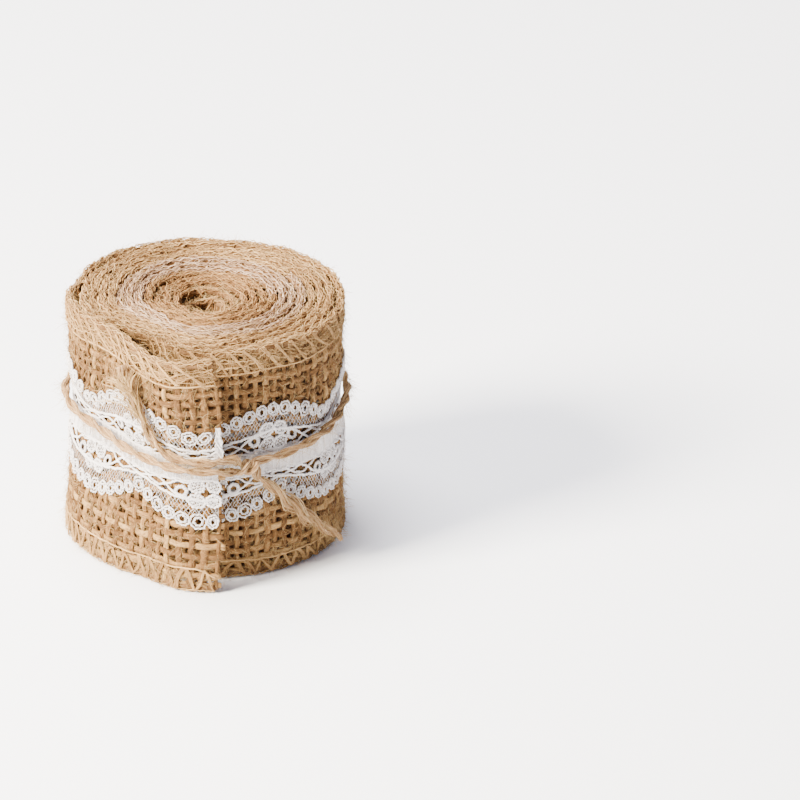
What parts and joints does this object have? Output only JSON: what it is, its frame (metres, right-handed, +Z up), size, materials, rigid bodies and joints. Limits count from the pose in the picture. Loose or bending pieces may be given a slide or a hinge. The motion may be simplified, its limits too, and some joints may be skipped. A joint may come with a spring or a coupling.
{
  "type": "rolled table runner",
  "caption": "Narrow woven burlap table runner with a white lace band, wound into a roll and tied with jute twine.",
  "frame": {"origin": "on the surface the roll stands on, at the middle of the footprint of the roll and its tie", "axes": "+Z up along the roll's axis, -Y towards the runner's free end and the knot, +X to the right seen from there"},
  "size_m": [0.0722, 0.0773, 0.06],
  "materials": {
    "burlap": "coarse open plain weave, dry and fuzzy",
    "looper_thread": "soft spun thread, light tan",
    "needle_thread": "twisted sewing thread, light tan",
    "lace": "openwork cotton lace, slight sheen",
    "lace_seam_thread": "twisted sewing thread, white",
    "twine": "two-ply jute, fibrous with a dull sheen"
  },
  "bodies": {
    "roll": {"burlap_outer": "burlap", "face_looper_top_outer": "looper_thread", "face_looper_bottom_outer": "looper_thread", "back_looper_top_outer": "looper_thread", "back_looper_bottom_outer": "looper_thread", "needle_top_outer": "needle_thread", "needle_bottom_outer": "needle_thread", "lace_tape_outer": "lace", "lace_upper_outer": "lace", "lace_lower_outer": "lace", "lace_seam_outer": "lace_seam_thread", "picots_upper": "lace", "picots_lower": "lace"},
    "core": {"burlap_core": "burlap", "face_looper_top_core": "looper_thread", "face_looper_bottom_core": "looper_thread", "back_looper_top_core": "looper_thread", "back_looper_bottom_core": "looper_thread", "needle_top_core": "needle_thread", "needle_bottom_core": "needle_thread", "lace_core": "lace", "lace_seam_core": "lace_seam_thread"},
    "tie": {"twine_wrap": "twine", "knot": "twine"},
    "tail_left": {"tail_left": "twine"},
    "tail_right": {"tail_right": "twine"}
  },
  "joints": [
    {"name": "core_push", "type": "slide", "parent": "roll", "child": "core", "axis": [0, 0, 1], "range_m": [0, 0.012]},
    {"name": "tie_slide", "type": "slide", "parent": "roll", "child": "tie", "axis": [0, 0, 1], "range_m": [-0.003, 0.06]},
    {"name": "tail_left_lift", "type": "hinge", "parent": "tie", "child": "tail_left", "pos_m": [0.01011, -0.03215, 0.03086], "axis": [0, 0, 1], "range_deg": [0, 60]},
    {"name": "tail_right_lift", "type": "hinge", "parent": "tie", "child": "tail_right", "pos_m": [0.01011, -0.03215, 0.03086], "axis": [0, 0, -1], "range_deg": [0, 60]}
  ]
}
